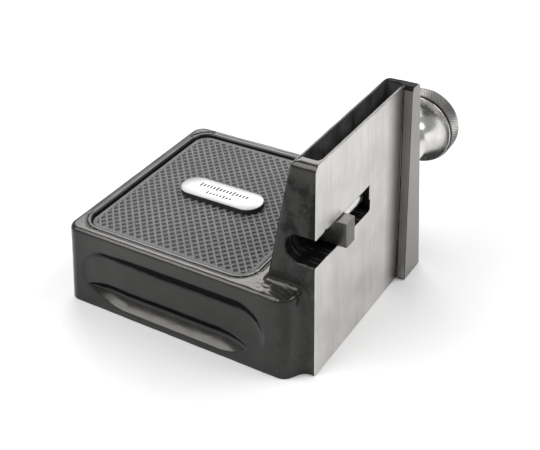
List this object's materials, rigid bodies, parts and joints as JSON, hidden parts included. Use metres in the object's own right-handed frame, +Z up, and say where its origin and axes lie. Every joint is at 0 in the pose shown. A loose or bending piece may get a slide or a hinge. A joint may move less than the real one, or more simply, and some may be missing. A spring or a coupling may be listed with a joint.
{
  "type": "bench vise",
  "caption": "Small cast clamping block with a palm pad, a ground upright face, a fixed jaw rail and a screw-driven sliding jaw turned by a thumb knob.",
  "frame": {"origin": "middle of the whole object's box, on the plane it rests on", "axes": "+X is the outward normal of the work face, +Y is the way the sliding jaw closes, +Z is up"},
  "size_m": [0.0888, 0.083, 0.0643],
  "materials": {
    "black_enamel": "glossy black japanned iron, with a ground work face",
    "grey_rubber": "satin, checkered",
    "brass": "turned",
    "zinc_steel": "turned steel",
    "plate_metal": "polished top, black sides",
    "nickel": "polished nickel plate",
    "ground_steel": "surface ground"
  },
  "bodies": {
    "base": {"body_casting": "black_enamel", "grip_pad": "grey_rubber", "pad_inserts": "brass", "pad_screws": "zinc_steel", "name_plate": "plate_metal", "gland_bush": "nickel", "thrust_washers": "brass"},
    "feed_screw": {"lead_screw": "zinc_steel", "knob": "nickel", "knob_screw": "zinc_steel"},
    "moving_jaw": {"jaw_block": "ground_steel", "draw_nut": "nickel", "jaw_pin": "zinc_steel"}
  },
  "joints": [
    {"name": "knob_spin", "type": "hinge", "parent": "base", "child": "feed_screw", "pos_m": [0.0333, 0.03405, 0.0394], "axis": [0, -1, 0], "range_deg": [-2828, 7148]},
    {"name": "jaw_slide", "type": "slide", "parent": "base", "child": "moving_jaw", "axis": [0, 1, 0], "range_m": [-0.0056, 0.014]}
  ],
  "couplings": [
    {"joint": "jaw_slide", "follows": "knob_spin", "m_per_rad": 0.00011141}
  ]
}
